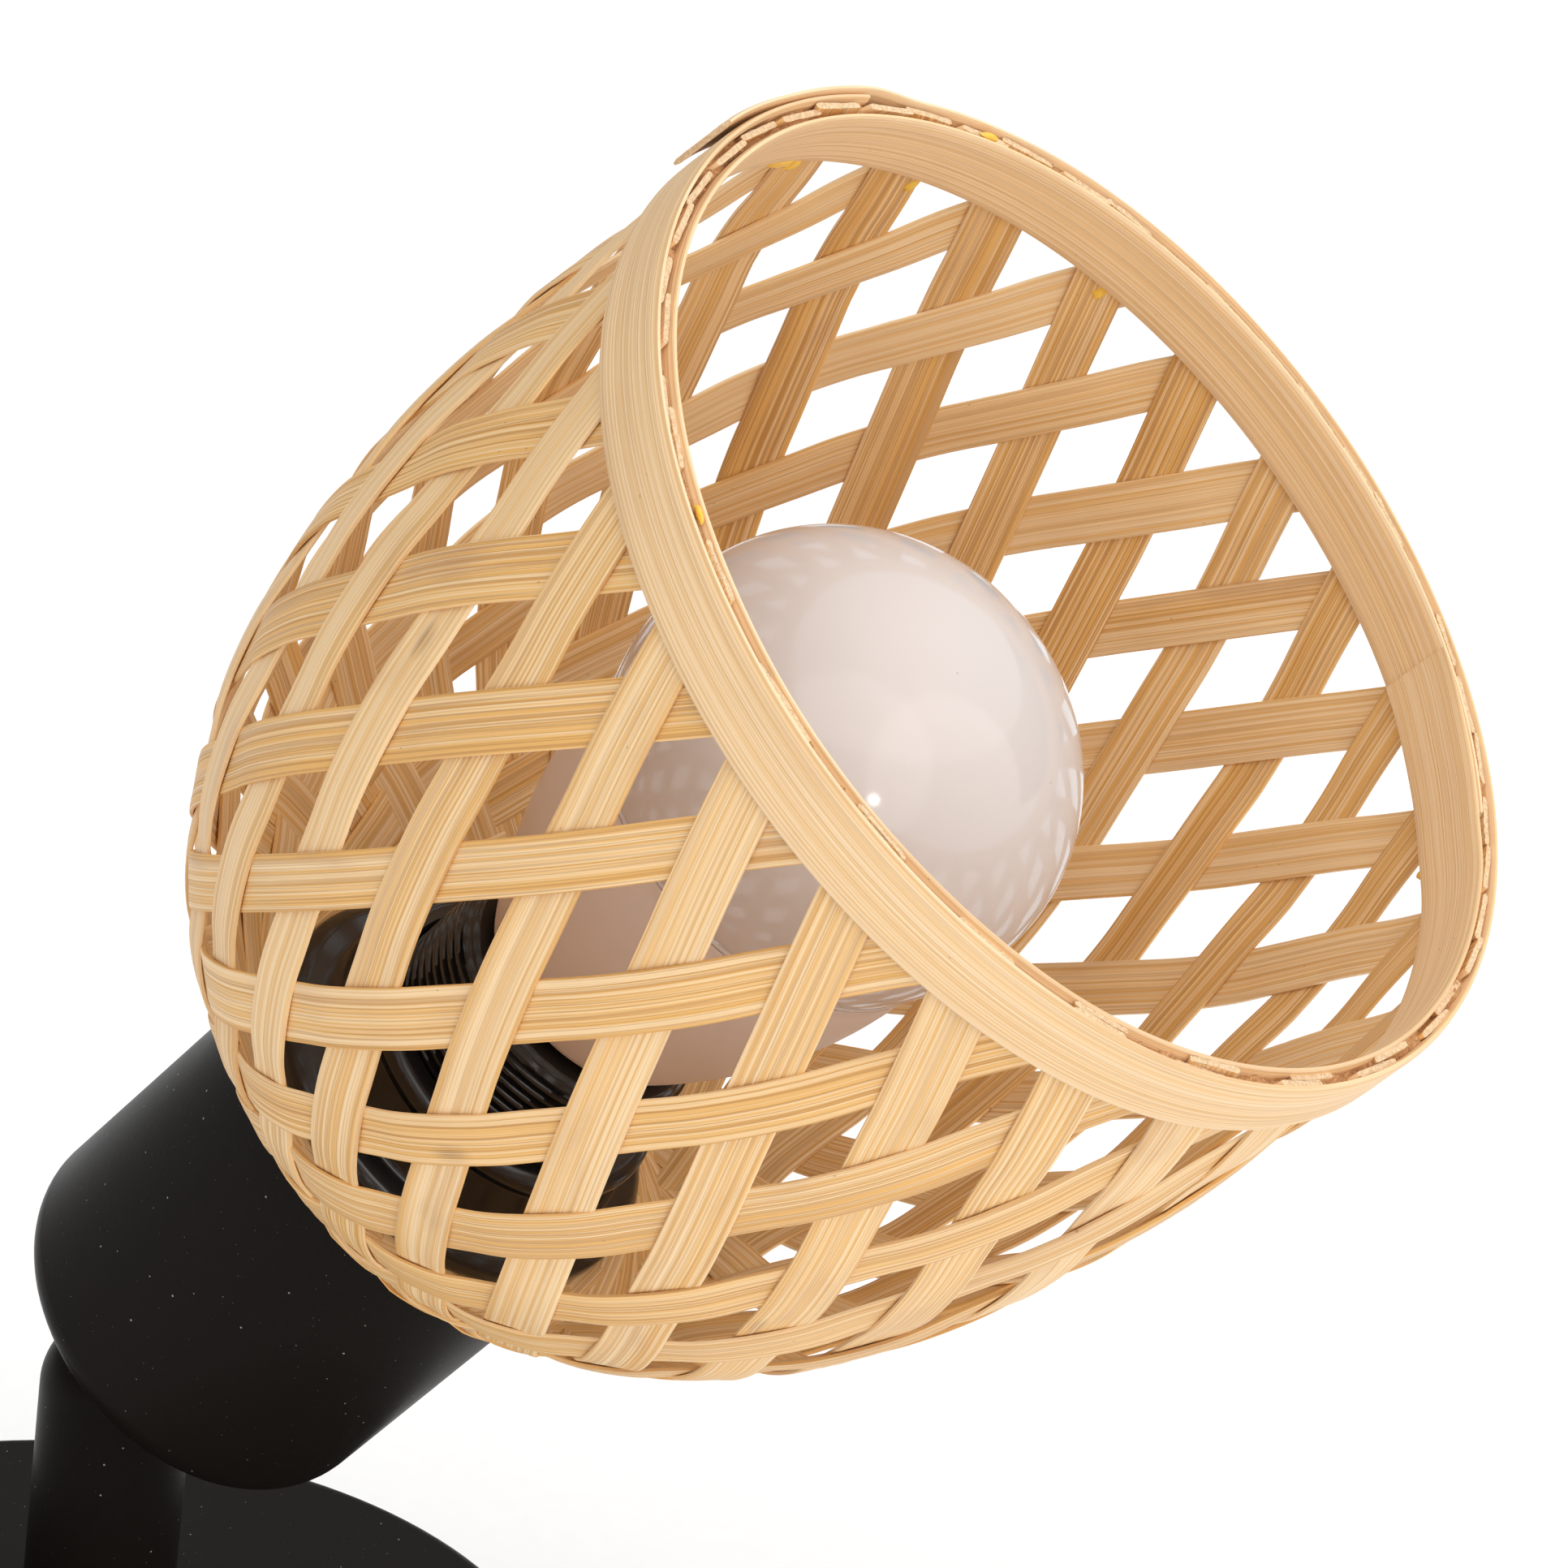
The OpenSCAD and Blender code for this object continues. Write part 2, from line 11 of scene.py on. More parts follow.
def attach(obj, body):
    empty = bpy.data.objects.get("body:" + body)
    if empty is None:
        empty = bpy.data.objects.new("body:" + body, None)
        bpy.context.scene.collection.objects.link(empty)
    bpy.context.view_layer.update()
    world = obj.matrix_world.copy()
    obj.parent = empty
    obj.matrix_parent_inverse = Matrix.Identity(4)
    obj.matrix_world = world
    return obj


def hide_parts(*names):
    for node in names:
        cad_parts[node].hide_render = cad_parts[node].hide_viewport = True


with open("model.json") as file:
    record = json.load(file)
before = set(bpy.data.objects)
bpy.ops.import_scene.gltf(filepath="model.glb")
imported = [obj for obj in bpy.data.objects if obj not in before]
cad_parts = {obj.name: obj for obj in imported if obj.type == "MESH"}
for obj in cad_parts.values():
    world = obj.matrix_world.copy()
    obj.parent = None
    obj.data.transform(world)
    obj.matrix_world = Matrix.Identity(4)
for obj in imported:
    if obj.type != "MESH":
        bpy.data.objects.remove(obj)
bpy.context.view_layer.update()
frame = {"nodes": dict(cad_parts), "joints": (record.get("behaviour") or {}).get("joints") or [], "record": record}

# ---------------------------------------------------------------------------
# Sizes, in millimetres and degrees, in the part's own frame
# ---------------------------------------------------------------------------

MM = 0.001
UV_MM = 10
SEED = 24

# Lamp head: the height of its tilt pivot, its tilt, and distances from the pivot along its own axis
joints = {joint["name"]: joint for joint in frame["joints"]}
pivot_z = joints["head_tilt"]["pos_m"][2] / MM
head_tilt = 40
cup_back = 14
cup_wall = 1
cup_front = 59

# Lampholder: a threaded sleeve that stands on a washer, a nut and a back cap inside the cup
lock_washer_t = 0.8
cup_nut_h = 3
nut_gap = 0.5
back_cap_l = 11
holder_foot = cup_back + cup_wall + lock_washer_t + cup_nut_h + nut_gap + back_cap_l
holder_r = 14
holder_core_r = holder_r - 0.7
holder_bore_r = 10.4
holder_reach = 23
holder_pitch = 1.2

# Ring that clamps the shade
ring_r = 21.5
ring_seat = cup_front + 1.3
ring_flange_t = 2.7
ring_hub_r = 17.3
ring_hub_h = 11
ring_bore = holder_r + 0.1

# Shade: a bowl of superellipse section that leans on its ring
shade_lean = 3.5
shade_shift = 4
shade_h = 97
rim_r = 50.3
belly_r = 51.4
belly_z = 69
bowl_depth = 73.6
bowl_power = 2.5
weave_t = 1.2
band_t = 0.7
outer_band_w = 7.5
inner_band_w = 8

# Bands: where each one starts, and how far its end laps over its start
outer_band_start = 169
outer_band_lap = 25
inner_band_start = 46
inner_band_lap = 22

# Weave: each strip runs from rim to rim past the hole at the bottom
strip_count = 24
strip_w = 5.6
strip_t = 0.5
strip_pass = 20.25
strip_start = 12.85
strip_twist = 2.7
strip_stray = 0.25
crossing_step = 180 / strip_count
crossing_snap = 1.5
layer_gap = 0.02
ring_step = 1.1

# Radii where each change in a strip starts and where it is complete
seat_zone = (21, 38)
twist_zone = (22, 36)
thick_zone = (23, 33)
woven_zone = (25, 31)
lead_zone = (30, 45)

# Hand weaving: on one side one half of each strip runs ahead, by up to lead degrees at lead_azimuth
lead = 6
lead_azimuth = -60

# Bulb, in the head's own frame
globe_r = 22.7
globe_z = 122
globe_crown = 20.4
globe_skirt = 24
globe_wall = 1.4
housing_wall = 1.3

# The globe is skinned in rings round its axis, which leaves a hole of this radius at its top
centre_hole_r = 0.02

# Seam between the globe and the housing, and the housing's neck
seam_drop = 10.5
seam_z = globe_z - seam_drop
seam_r = globe_r * math.sqrt(1 - (seam_drop / globe_skirt) ** 2)
neck_r = 11.4
neck_z = cup_front + holder_reach + 0.3

head_frame = Matrix.Translation((0, 0, pivot_z)) @ Matrix.Rotation(math.radians(head_tilt), 4, "Y")
shade_frame = (
    head_frame
    @ Matrix.Translation((-shade_shift, 0, cup_front))
    @ Matrix.Rotation(math.radians(shade_lean), 4, "Y")
)


# ---------------------------------------------------------------------------
# Small tools
# ---------------------------------------------------------------------------

def smooth_step(low, high, value):
    """0 below low, 1 above high, and a smooth S between them."""
    share = np.clip((np.asarray(value, float) - low) / (high - low), 0, 1)
    return share * share * (3 - 2 * share)


def moved(points, matrix):
    """The points (…, 3) carried by a 4x4 matrix."""
    m = np.array(matrix)
    return np.asarray(points) @ m[:3, :3].T + m[:3, 3]


def turned(vectors, matrix):
    """The directions (…, 3) turned by a 4x4 matrix."""
    return np.asarray(vectors) @ np.array(matrix)[:3, :3].T


def unit(vectors):
    """The vectors at length 1."""
    return vectors / np.linalg.norm(vectors, axis=-1, keepdims=True)


def wander(length, waves, size, source):
    """A slow random curve along length: a few sines of random phase."""
    position = np.linspace(0, 1, length)
    curve = np.zeros(length)
    for k in range(1, waves + 1):
        phase = source.uniform(0, 2 * math.pi)
        curve += source.uniform(0.4, 1) * np.sin(2 * math.pi * k * position + phase) / k
    return size * curve


class Mesh:
    """Collects lofts into one mesh, with a UV map in centimetres and a tone for each ring."""

    def __init__(self):
        self.points = []
        self.uvs = []
        self.tones = []
        self.faces = []
        self.materials = []
        self.count = 0

    def loft(self, rings, uvs=None, tone=0.5, looped=False, cap_material=0):
        """Skins closed rings of points (rings, points in a ring, 3), with caps unless they run in a loop."""
        rings = np.asarray(rings, float)
        rows, columns = rings.shape[:2]
        if uvs is None:
            uvs = rings[..., :2] / UV_MM
        base = self.count
        self.points.append(rings.reshape(-1, 3))
        self.uvs.append(np.asarray(uvs, float).reshape(-1, 2))
        self.tones.append(np.repeat(np.broadcast_to(tone, rows), columns))
        self.count += rows * columns
        row_steps = rows if looped else rows - 1
        for i in range(row_steps):
            this_row = base + i * columns
            next_row = base + ((i + 1) % rows) * columns
            for j in range(columns):
                k = (j + 1) % columns
                self.faces.append((this_row + j, this_row + k, next_row + k, next_row + j))
                self.materials.append(0)
        if not looped:
            last = base + (rows - 1) * columns
            self.faces.append(tuple(range(base + columns - 1, base - 1, -1)))
            self.faces.append(tuple(range(last, last + columns)))
            self.materials += [cap_material, cap_material]

    def piece(self, name, materials, body, replaces=(), sharp=40):
        """Makes the object, in metres, and ties it to its body."""
        data = bpy.data.meshes.new(name)
        points = np.concatenate(self.points) * MM
        data.from_pydata(points.tolist(), [], self.faces)
        data.polygons.foreach_set("material_index", self.materials)
        loops = np.empty(len(data.loops), np.int32)
        data.loops.foreach_get("vertex_index", loops)
        layer = data.uv_layers.new(name="fibres")
        layer.data.foreach_set("uv", np.concatenate(self.uvs)[loops].ravel())
        tone = data.attributes.new("tone", "FLOAT", "POINT")
        tone.data.foreach_set("value", np.concatenate(self.tones))
        for material in materials:
            data.materials.append(material)
        tidy = bmesh.new()
        tidy.from_mesh(data)
        bmesh.ops.recalc_face_normals(tidy, faces=tidy.faces)
        tidy.to_mesh(data)
        tidy.free()
        data.shade_smooth()
        data.set_sharp_from_angle(angle=math.radians(sharp))
        made = bpy.data.objects.new(name, data)
        bpy.context.collection.objects.link(made)
        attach(made, body)
        if replaces:
            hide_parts(*replaces)


def lathe_rings(section, steps, matrix):
    """Rings of a solid of revolution; section is a closed list of (radius, height)."""
    section = np.asarray(section, float)
    angle = np.linspace(0, 2 * math.pi, steps, endpoint=False)[:, None]
    rings = np.stack([
        section[None, :, 0] * np.cos(angle),
        section[None, :, 0] * np.sin(angle),
        np.broadcast_to(section[None, :, 1], (steps, len(section))),
    ], axis=-1)
    return moved(rings, matrix)


def rounded(corners, radius, steps=4):
    """A closed outline with each corner rounded by up to radius."""
    corners = [np.array(corner, float) for corner in corners]
    outline = []
    for k, corner in enumerate(corners):
        before = corners[k - 1] - corner
        after = corners[(k + 1) % len(corners)] - corner
        reach = min(radius, np.linalg.norm(before) * 0.45, np.linalg.norm(after) * 0.45)
        start = corner + reach * before / np.linalg.norm(before)
        end = corner + reach * after / np.linalg.norm(after)
        for step in range(steps + 1):
            share = step / steps
            outline.append((1 - share) ** 2 * start + 2 * share * (1 - share) * corner + share ** 2 * end)
    return outline


# ---------------------------------------------------------------------------
# Materials
# ---------------------------------------------------------------------------

class Surface:
    """A material with one Principled shader and short ways to feed it."""

    def __init__(self, name, roughness, metallic=0.0, specular=0.5):
        self.material = bpy.data.materials.new(name)
        self.material.use_nodes = True
        self.tree = self.material.node_tree
        self.shader = self.tree.nodes["Principled BSDF"]
        self.shader.inputs["Roughness"].default_value = roughness
        self.shader.inputs["Metallic"].default_value = metallic
        self.shader.inputs["Specular IOR Level"].default_value = specular

    def node(self, kind, **settings):
        """A new shader node; kind leaves out the ShaderNode that all their names start with."""
        made = self.tree.nodes.new("ShaderNode" + kind)
        for name, value in settings.items():
            setattr(made, name, value)
        return made

    def link(self, source, target):
        self.tree.links.new(source, target)

    def math(self, operation, *values, clamp=False):
        """The result of a math node on numbers or sockets."""
        made = self.node("Math", operation=operation, use_clamp=clamp)
        for socket, value in zip(made.inputs, values):
            self.feed(socket, value)
        return made.outputs[0]

    def feed(self, socket, value):
        """Gives a socket its value, or links it where the value is itself a socket."""
        if isinstance(value, bpy.types.NodeSocket):
            self.link(value, socket)
        else:
            socket.default_value = value

    def place(self):
        """The object's own coordinates, in metres."""
        return self.node("TexCoord").outputs["Object"]

    def noise(self, vector, scale, detail=2.0, roughness=0.5):
        """Smooth random values around 0.5."""
        made = self.node("TexNoise")
        self.feed(made.inputs["Vector"], vector)
        made.inputs["Scale"].default_value = scale
        made.inputs["Detail"].default_value = detail
        made.inputs["Roughness"].default_value = roughness
        return made.outputs["Fac"]

    def cells(self, vector, scale):
        """Distance from the middle of each random cell, and the cell's own random colour."""
        made = self.node("TexVoronoi")
        self.feed(made.inputs["Vector"], vector)
        made.inputs["Scale"].default_value = scale
        return made.outputs["Distance"], made.outputs["Color"]

    def parts(self, colour):
        """The three channels of a colour: three random numbers, where it is a cell's own."""
        split = self.node("SeparateColor")
        self.link(colour, split.inputs[0])
        return split.outputs

    def spread(self, value, low, high, to_low=0.0, to_high=1.0):
        """value from low..high to to_low..to_high, smoothly and clamped."""
        made = self.node("MapRange", interpolation_type="SMOOTHSTEP")
        self.feed(made.inputs["Value"], value)
        for name, number in zip(("From Min", "From Max", "To Min", "To Max"), (low, high, to_low, to_high)):
            made.inputs[name].default_value = number
        return made.outputs["Result"]

    def mix(self, share, first, second):
        """A colour between two colours or colour sockets."""
        made = self.node("Mix", data_type="RGBA")
        self.feed(made.inputs[0], share)
        for socket, value in ((made.inputs[6], first), (made.inputs[7], second)):
            if isinstance(value, tuple):
                value = (*value, 1.0)
            self.feed(socket, value)
        return made.outputs[2]

    def colour(self, value):
        if isinstance(value, tuple):
            value = (*value, 1.0)
        self.feed(self.shader.inputs["Base Color"], value)

    def rough(self, value):
        self.feed(self.shader.inputs["Roughness"], value)

    def bump(self, height, strength, distance):
        made = self.node("Bump")
        made.inputs["Strength"].default_value = strength
        made.inputs["Distance"].default_value = distance
        self.link(height, made.inputs["Height"])
        self.link(made.outputs["Normal"], self.shader.inputs["Normal"])


def strip_coordinates(surface, along, across):
    """Coordinates stretched along a strip, from its UV map in centimetres."""
    split = surface.node("SeparateXYZ")
    surface.link(surface.node("UVMap", uv_map="fibres").outputs["UV"], split.inputs[0])
    joined = surface.node("CombineXYZ")
    surface.link(surface.math("MULTIPLY", split.outputs[0], along), joined.inputs[0])
    surface.link(surface.math("MULTIPLY", split.outputs[1], across), joined.inputs[1])
    return joined.outputs[0]


def bamboo(name, pale, honey, vein, stain_amount, fineness):
    """Split bamboo: fine veins along the strip, slow honey streaks, stains, specks and knots."""
    stain = (0.42, 0.22, 0.13)
    speck = (0.22, 0.12, 0.06)
    knot_brown = (0.27, 0.15, 0.08)
    wood = Surface(name, 0.5, specular=0.4)
    tone = wood.node("Attribute", attribute_name="tone").outputs["Fac"]
    streaks = wood.noise(strip_coordinates(wood, 0.06, 17 * fineness), 1.0, 2.0)
    veins = wood.noise(strip_coordinates(wood, 0.05, 11 * fineness), 1.0, 2.0)
    hairs = wood.noise(strip_coordinates(wood, 0.35, 50 * fineness), 1.0, 2.0, 0.6)
    stains = wood.noise(strip_coordinates(wood, 0.4, 1.2), 1.0, 3.0, 0.55)
    warmth = wood.math("ADD", wood.spread(streaks, 0.36, 0.64), wood.math("SUBTRACT", tone, 0.5), clamp=True)
    body = wood.mix(warmth, pale, honey)
    near_line = wood.math("ABSOLUTE", wood.math("SUBTRACT", veins, 0.5))
    line_share = wood.math("MULTIPLY", wood.spread(near_line, 0.015, 0.06, 0.95, 0.0), tone)
    body = wood.mix(line_share, body, vein)
    body = wood.mix(wood.spread(hairs, 0.52, 0.70, 0.0, 0.4), body, vein)
    body = wood.mix(wood.spread(stains, 0.55, 0.78, 0.0, stain_amount), body, stain)
    distance, _ = wood.cells(strip_coordinates(wood, 1.0, 3.0), 1.7)
    body = wood.mix(wood.spread(distance, 0.015, 0.04, 0.6, 0.0), body, speck)
    knot, kind = wood.cells(strip_coordinates(wood, 1.0, 2.2), 0.33)
    chosen = wood.math("GREATER_THAN", wood.parts(kind)[0], 0.72)
    smudge = wood.math("MULTIPLY", wood.spread(knot, 0.02, 0.10, 0.7, 0.0), chosen)
    smudge = wood.math("MULTIPLY", smudge, wood.spread(hairs, 0.38, 0.6))
    body = wood.mix(smudge, body, knot_brown)
    wood.colour(body)
    wood.rough(wood.spread(hairs, 0.3, 0.7, 0.42, 0.62))
    height = wood.math("SUBTRACT", wood.math("MULTIPLY", hairs, -0.5), line_share)
    wood.bump(height, 0.5, 0.00006)
    return wood.material


def end_grain(name, dark, light):
    """Cut ends of bamboo, and the painted shade in the rim's gaps: dotted, dull and uneven."""
    wood = Surface(name, 0.85, specular=0.2)
    place = wood.place()
    distance, _ = wood.cells(place, 4200)
    dust = wood.noise(place, 2600, 3.0, 0.65)
    body = wood.mix(wood.spread(dust, 0.3, 0.7), dark, light)
    body = wood.mix(wood.spread(distance, 0.12, 0.4, 0.4, 0.0), body, tuple(0.5 * c for c in dark))
    wood.colour(body)
    wood.bump(dust, 0.6, 0.0002)
    return wood.material


def cut_ends():
    return end_grain("bamboo_end_grain", (0.68, 0.45, 0.25), (0.86, 0.65, 0.42))


def powder_coat(name, base, roughness, dust):
    """Satin black paint with a fine orange peel, and dust that has settled on it."""
    pale_dust = (0.62, 0.60, 0.57)
    dull_dust = (0.5, 0.48, 0.45)
    paint = Surface(name, roughness, specular=0.05)
    place = paint.place()
    peel = paint.noise(place, 1600, 2.0)
    cloud = paint.noise(place, 35, 3.0)
    body = paint.mix(cloud, tuple(0.8 * c for c in base), tuple(1.25 * c for c in base))
    distance, kind = paint.cells(place, 620)
    random_parts = paint.parts(kind)
    chosen = paint.math("GREATER_THAN", random_parts[0], 1 - dust)
    size = paint.math("MULTIPLY_ADD", random_parts[1], 0.05, 0.02)
    speck = paint.math("MULTIPLY", chosen, paint.math("LESS_THAN", distance, size))
    fine_distance, fine_kind = paint.cells(place, 900)
    fine_chosen = paint.math("GREATER_THAN", paint.parts(fine_kind)[0], 1 - dust)
    fine = paint.math("MULTIPLY", fine_chosen, paint.math("LESS_THAN", fine_distance, 0.05))
    body = paint.mix(paint.math("MULTIPLY", fine, 0.16), body, dull_dust)
    body = paint.mix(paint.math("MULTIPLY", speck, 0.45), body, pale_dust)
    paint.colour(body)
    paint.rough(paint.spread(cloud, 0.3, 0.7, roughness - 0.04, roughness + 0.06))
    paint.bump(peel, 0.12, 0.0001)
    return paint.material


def moulded(name, low, high, roughness, texture=900, bump=0.1):
    """Moulded plastic or rubber: slight clouding, a fine skin texture."""
    plastic = Surface(name, roughness)
    place = plastic.place()
    cloud = plastic.noise(place, 60, 3.0)
    skin = plastic.noise(place, texture, 2.0)
    plastic.colour(plastic.mix(plastic.spread(cloud, 0.3, 0.7), low, high))
    plastic.rough(plastic.spread(cloud, 0.3, 0.7, roughness * 0.85, roughness * 1.2))
    plastic.bump(skin, bump, 0.0001)
    return plastic.material


def metal(name, low, high, roughness):
    """Bare or plated metal: dull patches and fine scratches."""
    plate = Surface(name, roughness, metallic=1.0)
    place = plate.place()
    patches = plate.noise(place, 120, 4.0, 0.6)
    scratches = plate.noise(place, 700, 3.0)
    plate.colour(plate.mix(plate.spread(patches, 0.3, 0.7), low, high))
    plate.rough(plate.spread(patches, 0.3, 0.7, roughness * 0.75, roughness * 1.35))
    plate.bump(scratches, 0.08, 0.0001)
    return plate.material


def milky_globe():
    """Opal bulb: milky, glossy and a little pink, with a few specks in it."""
    milk = (0.63, 0.565, 0.535)
    pale_milk = (0.67, 0.60, 0.57)
    speck_brown = (0.45, 0.35, 0.30)
    opal = Surface("opal_globe", 0.09)
    place = opal.place()
    cloud = opal.noise(place, 30, 2.0)
    distance, kind = opal.cells(place, 190)
    chosen = opal.math("GREATER_THAN", opal.parts(kind)[0], 0.5)
    speck = opal.math("MULTIPLY", chosen, opal.math("LESS_THAN", distance, 0.03))
    body = opal.mix(opal.spread(cloud, 0.3, 0.7), milk, pale_milk)
    opal.colour(opal.mix(opal.math("MULTIPLY", speck, 0.45), body, speck_brown))
    opal.rough(opal.spread(cloud, 0.2, 0.8, 0.07, 0.12))
    opal.shader.inputs["Subsurface Weight"].default_value = 0.25
    opal.shader.inputs["Subsurface Radius"].default_value = (0.004, 0.003, 0.0025)
    return opal.material


def glue():
    """Dried amber glue."""
    drop = Surface("amber_glue", 0.25)
    cloud = drop.noise(drop.place(), 900, 2.0)
    drop.colour(drop.mix(cloud, (0.86, 0.46, 0.03), (0.95, 0.62, 0.10)))
    drop.bump(cloud, 0.3, 0.0003)
    return drop.material


def make_materials():
    """One material for each slot that the record names."""
    black = (0.0076, 0.0060, 0.0048)
    return {
        "black_paint": powder_coat("black_powder_coat", black, 0.34, 0.85),
        "black_screw": powder_coat("blackened_screw", (0.014, 0.014, 0.014), 0.32, 0.05),
        "zinc_steel": metal("zinc_plated_steel", (0.52, 0.54, 0.55), (0.68, 0.70, 0.71), 0.34),
        "contact_brass": metal("brass_contact", (0.62, 0.42, 0.17), (0.78, 0.56, 0.26), 0.28),
        "grommet_rubber": moulded(
            "black_rubber", (0.016, 0.016, 0.016), (0.03, 0.03, 0.03), 0.7, texture=1500, bump=0.3
        ),
        "terminal_plastic": moulded("terminal_polyamide", (0.62, 0.60, 0.55), (0.72, 0.70, 0.65), 0.45),
        "nylon": moulded("nylon_washer", (0.55, 0.54, 0.50), (0.66, 0.65, 0.61), 0.42),
        "holder_plastic": moulded(
            "glossy_black_thermoplastic", (0.006, 0.006, 0.006), (0.010, 0.009, 0.009), 0.16,
            texture=500, bump=0.05,
        ),
        "insert_plastic": moulded("ivory_insert", (0.60, 0.55, 0.45), (0.70, 0.66, 0.56), 0.5),
        "bamboo": bamboo(
            "woven_bamboo", pale=(0.91, 0.66, 0.38), honey=(0.80, 0.45, 0.14), vein=(0.50, 0.24, 0.07),
            stain_amount=0.35, fineness=1.6,
        ),
        "bamboo_band": bamboo(
            "band_bamboo", pale=(0.91, 0.67, 0.42), honey=(0.86, 0.56, 0.27), vein=(0.60, 0.34, 0.13),
            stain_amount=0.12, fineness=2.2,
        ),
        "solder": metal("tinned_contact", (0.60, 0.60, 0.60), (0.74, 0.74, 0.73), 0.25),
        "insulator_glass": moulded("black_insulator", (0.012, 0.012, 0.014), (0.03, 0.03, 0.035), 0.12),
        "cap_nickel": metal("nickel_cap", (0.62, 0.60, 0.56), (0.74, 0.72, 0.68), 0.22),
        "bulb_plastic": moulded(
            "bulb_housing_plastic", (0.70, 0.58, 0.51), (0.75, 0.63, 0.56), 0.36, texture=1200, bump=0.08
        ),
        "circuit_board": moulded(
            "circuit_board", (0.02, 0.16, 0.07), (0.04, 0.24, 0.10), 0.4, texture=2500, bump=0.3
        ),
        "board_aluminium": metal("aluminium_board", (0.70, 0.71, 0.72), (0.80, 0.81, 0.82), 0.4),
        "bulb_globe": milky_globe(),
    }


# ---------------------------------------------------------------------------
# Woven shade
# ---------------------------------------------------------------------------

def bowl_r(z, inset):
    """Radius of the bowl at height z, drawn in by inset: a superellipse up to the belly, then a cone."""
    z = np.asarray(z, float)
    share = np.clip((belly_z - z) / (bowl_depth - inset), 0, 1)
    low = (belly_r - inset) * (1 - share ** bowl_power) ** (1 / bowl_power)
    high = belly_r - inset + (rim_r - belly_r) * (z - belly_z) / (shade_h - belly_z)
    return np.where(z < belly_z, low, high)


def strip_half():
    """One half of a strip's line: its length from the middle, radius, height, turn, and slope."""
    steps = 1200
    z = shade_h * (1 - np.cos(np.linspace(0, math.pi / 2, steps)))
    r = bowl_r(z, weave_t / 2)
    rise = np.hypot(np.diff(r), np.diff(z))
    mid_r = (r[1:] + r[:-1]) / 2
    lift = np.sqrt(mid_r ** 2 - strip_pass ** 2)
    flat_length = math.sqrt(r[0] ** 2 - strip_pass ** 2)
    length = flat_length + np.concatenate([[0], np.cumsum(rise * mid_r / lift)])
    turn = math.acos(strip_pass / r[0]) + np.concatenate([[0], np.cumsum(rise * strip_pass / (mid_r * lift))])
    flat = np.linspace(0, flat_length, 12, endpoint=False)
    length = np.concatenate([flat, length])
    turn = np.degrees(np.concatenate([np.arctan2(flat, strip_pass), turn]))
    r = np.concatenate([np.hypot(flat, strip_pass), r])
    z = np.concatenate([np.zeros(len(flat)), z])
    turn += strip_twist * smooth_step(*twist_zone, r)
    slope = np.arctan2(np.gradient(z), np.gradient(r))
    slope[:len(flat)] = 0
    return length, r, z, turn, slope


def strip_layers(at, side, crossing, radius, height):
    """How far a strip's middle stands off the weave at each ring, and how thick the strip is there.

    One half of each strip is outside at even crossings, the other at odd ones."""
    change_of_side = 6
    thin_share = 0.5
    rim_swell = 0.2
    over = np.tanh(crossing_snap * np.cos(math.pi * crossing)) / math.tanh(crossing_snap)
    woven = smooth_step(*woven_zone, radius)
    layer = side * (woven * over + (1 - woven) * smooth_step(0, change_of_side, at))
    thick = strip_t * (thin_share + (1 - thin_share) * smooth_step(*thick_zone, radius))
    thick *= 1 + rim_swell * smooth_step(shade_h - 9, shade_h - 3, height)
    return layer * (thick / 2 + layer_gap), thick


def seated(path, outward, radius):
    """The strip's line and outward directions, clamped flat by the ring and centred on the lamp's axis."""
    seat = cup_front + weave_t / 2
    soft = 1.2
    above = path[:, 2] - seat
    flattened = 0.5 * (1 - above / np.sqrt(above ** 2 + soft ** 2))
    path[:, 2] = seat + 0.5 * (above + np.sqrt(above ** 2 + soft ** 2)) - 0.5 * soft * np.exp(-np.abs(above))
    path[:, 0] += shade_shift * (1 - smooth_step(*seat_zone, radius))
    outward = unit(outward * (1 - flattened[:, None]) + np.array([0, 0, -1.0]) * flattened[:, None])
    return path, outward


def strip_section(thick, source):
    """Across and out offsets of a flat section with soft edges and shallow ridges along its fibres."""
    columns = 13
    ridge = 0.03
    edge_loss = 0.5
    place = np.sin(np.linspace(-math.pi / 2, math.pi / 2, columns))
    edge = 1 - edge_loss * np.abs(place) ** 24
    ridge_top = np.array([source.uniform(-ridge, ridge) for _ in place])
    ridge_low = np.array([source.uniform(-ridge, ridge) for _ in place])
    width = strip_w * source.uniform(0.93, 1.05) * (1 + wander(len(thick), waves=6, size=0.02, source=source))
    lateral = place[None, :] * width[:, None] / 2
    top = edge * (0.5 + ridge_top) * thick[:, None]
    low = -edge * (0.5 + ridge_low) * thick[:, None]
    section_side = np.concatenate([lateral, lateral[:, ::-1]], axis=1)
    section_out = np.concatenate([top, low[:, ::-1]], axis=1)
    return section_side, section_out


def cut_level(rings, forward, to_head, source):
    """The rings with one more at each end, cut level with the rim, a little unevenly."""
    cut_spread = 0.5
    fray = 0.08
    shade_up = turned(np.array([0, 0, 1.0]), to_head)
    shade_origin = np.array(to_head.translation)
    cut_rings = []
    for end, heading in ((0, -forward[0]), (-1, forward[-1])):
        cut = shade_h - 0.15 - source.uniform(0, cut_spread)
        level = (rings[end] - shade_origin) @ shade_up
        rough = np.array([source.uniform(-fray, fray) for _ in range(rings.shape[1])])
        travel = (cut + rough - level) / (heading @ shade_up)
        cut_rings.append(rings[end] + travel[:, None] * heading)
    return np.concatenate([cut_rings[0][None], rings, cut_rings[1][None]])


